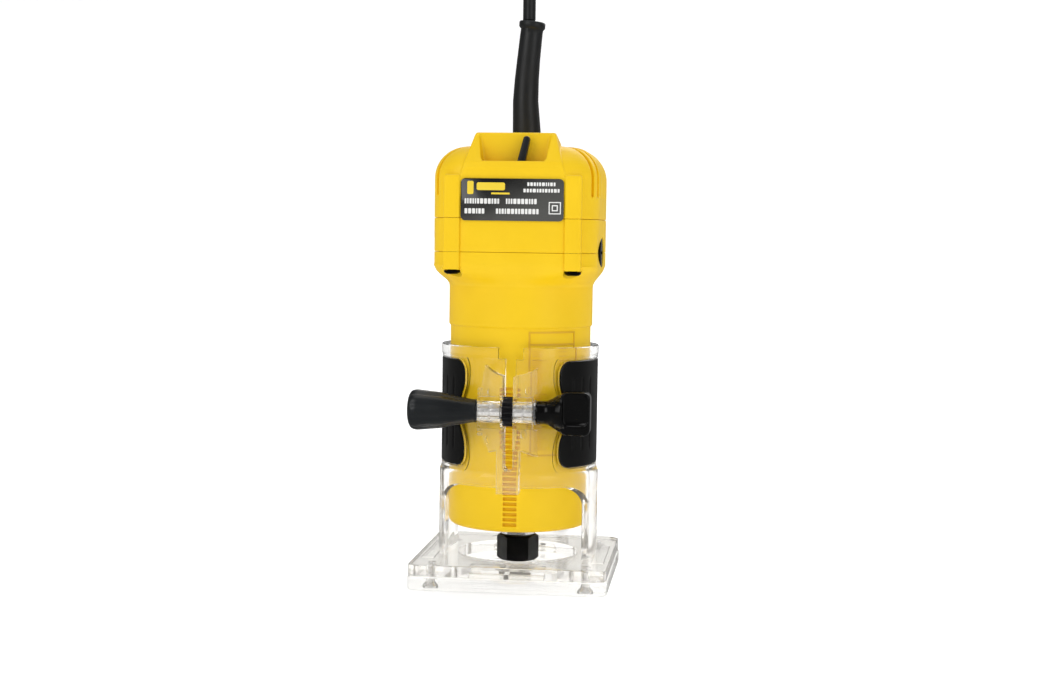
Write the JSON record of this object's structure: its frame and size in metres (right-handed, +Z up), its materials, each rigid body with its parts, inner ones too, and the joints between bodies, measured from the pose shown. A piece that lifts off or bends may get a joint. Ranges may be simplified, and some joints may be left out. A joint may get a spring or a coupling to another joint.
{
  "type": "trim router",
  "caption": "Handheld trim router: yellow mains motor in a clear split base with rack-and-pinion depth adjustment and a wing clamp knob.",
  "frame": {"origin": "on the spindle axis, at the underside of the sole (bottom centre of the tool within a millimetre)", "axes": "+Z up along the spindle, -Y towards the front with the knobs and the plate, +X towards the wing knob"},
  "size_m": [0.0977, 0.2987, 0.3035],
  "materials": {
    "yellow_shell": "fine satin moulded plastic",
    "label": "glossy printed plate",
    "clear_plastic": "polished transparent plastic",
    "black_plastic": "satin moulded plastic",
    "pinion_plastic": "satin moulded plastic",
    "rubber": "matt moulded rubber",
    "cord_rubber": "satin flexible plastic",
    "tie": "woven hook-and-loop strap",
    "steel": "turned bright steel",
    "blackened_steel": "black oxide",
    "copper": "enamelled copper wire",
    "brass": "bright brass",
    "carbon": "pressed carbon"
  },
  "bodies": {
    "base": {"clear_base": "clear_plastic", "sole_plate": "clear_plastic", "sole_screw_1": "steel", "sole_screw_2": "steel", "sole_screw_3": "steel", "sole_screw_4": "steel", "left_grip": "rubber", "right_grip": "rubber", "ear_bush_left": "steel", "ear_bush_right": "steel", "cord_hank": "cord_rubber", "hank_tie": "tie", "plug_body": "cord_rubber", "plug_pin_1": "brass", "plug_pin_2": "brass"},
    "motor": {"motor_housing": "yellow_shell", "middle_ring": "yellow_shell", "top_cap": "yellow_shell", "rating_plate": "label", "housing_screw_1": "blackened_steel", "housing_screw_2": "blackened_steel", "housing_screw_3": "blackened_steel", "housing_screw_4": "blackened_steel", "switch_body": "black_plastic", "strain_relief": "cord_rubber", "power_cord": "cord_rubber", "cord_clamp": "black_plastic", "cord_clamp_screw_1": "steel", "cord_clamp_screw_2": "steel", "brush_cap_left": "black_plastic", "brush_cap_right": "black_plastic", "brush_holder_left": "brass", "brush_holder_right": "brass", "carbon_brush_left": "carbon", "carbon_brush_right": "carbon", "brush_spring_left": "steel", "brush_spring_right": "steel", "rear_bearing": "steel", "front_bearing": "steel", "bearing_retainer": "steel", "fan_baffle": "black_plastic", "field_core": "blackened_steel", "field_coil_1": "copper", "field_coil_2": "copper"},
    "rotor": {"spindle": "steel", "armature_core": "blackened_steel", "armature_windings": "copper", "commutator": "copper", "fan": "black_plastic"},
    "collet": {"collet": "steel"},
    "collet_nut": {"collet_nut": "blackened_steel"},
    "switch_lever": {"switch_lever": "black_plastic"},
    "pinion": {"clamp_shaft": "steel", "pinion": "pinion_plastic", "adjusting_knob": "black_plastic"},
    "clamp_washer": {"clamp_washer": "steel"},
    "wing_knob": {"wing_knob": "black_plastic"}
  },
  "joints": [
    {"name": "depth_slide", "type": "slide", "parent": "base", "child": "motor", "axis": [0, 0, 1], "range_m": [-0.007, 0.045]},
    {"name": "pinion_turn", "type": "hinge", "parent": "base", "child": "pinion", "pos_m": [0, -0.03775, 0.0806], "axis": [1, 0, 0], "range_deg": [-68, 431]},
    {"name": "clamp_release", "type": "slide", "parent": "base", "child": "clamp_washer", "axis": [1, 0, 0], "range_m": [0, 0.002]},
    {"name": "clamp_knob_turn", "type": "hinge", "parent": "clamp_washer", "child": "wing_knob", "pos_m": [0, -0.03775, 0.0806], "axis": [1, 0, 0], "range_deg": [0, 721]},
    {"name": "switch_toggle", "type": "hinge", "parent": "motor", "child": "switch_lever", "pos_m": [0.0006, -0.0323, 0.18], "axis": [0, 1, 0], "range_deg": [-26, 0]},
    {"name": "spindle_spin", "type": "hinge", "parent": "motor", "child": "rotor", "pos_m": [0, 0, 0.1], "axis": [0, 0, 1], "continuous": true},
    {"name": "collet_slide", "type": "slide", "parent": "rotor", "child": "collet", "axis": [0, 0, -1], "range_m": [0, 0.002]},
    {"name": "collet_nut_turn", "type": "hinge", "parent": "collet", "child": "collet_nut", "pos_m": [0, 0, 0.0135], "axis": [0, 0, -1], "range_deg": [0, 721]}
  ],
  "couplings": [
    {"joint": "pinion_turn", "follows": "depth_slide", "rad_per_m": 166.67},
    {"joint": "clamp_knob_turn", "follows": "clamp_release", "rad_per_m": 6283.2},
    {"joint": "collet_nut_turn", "follows": "collet_slide", "rad_per_m": 6283.2}
  ]
}
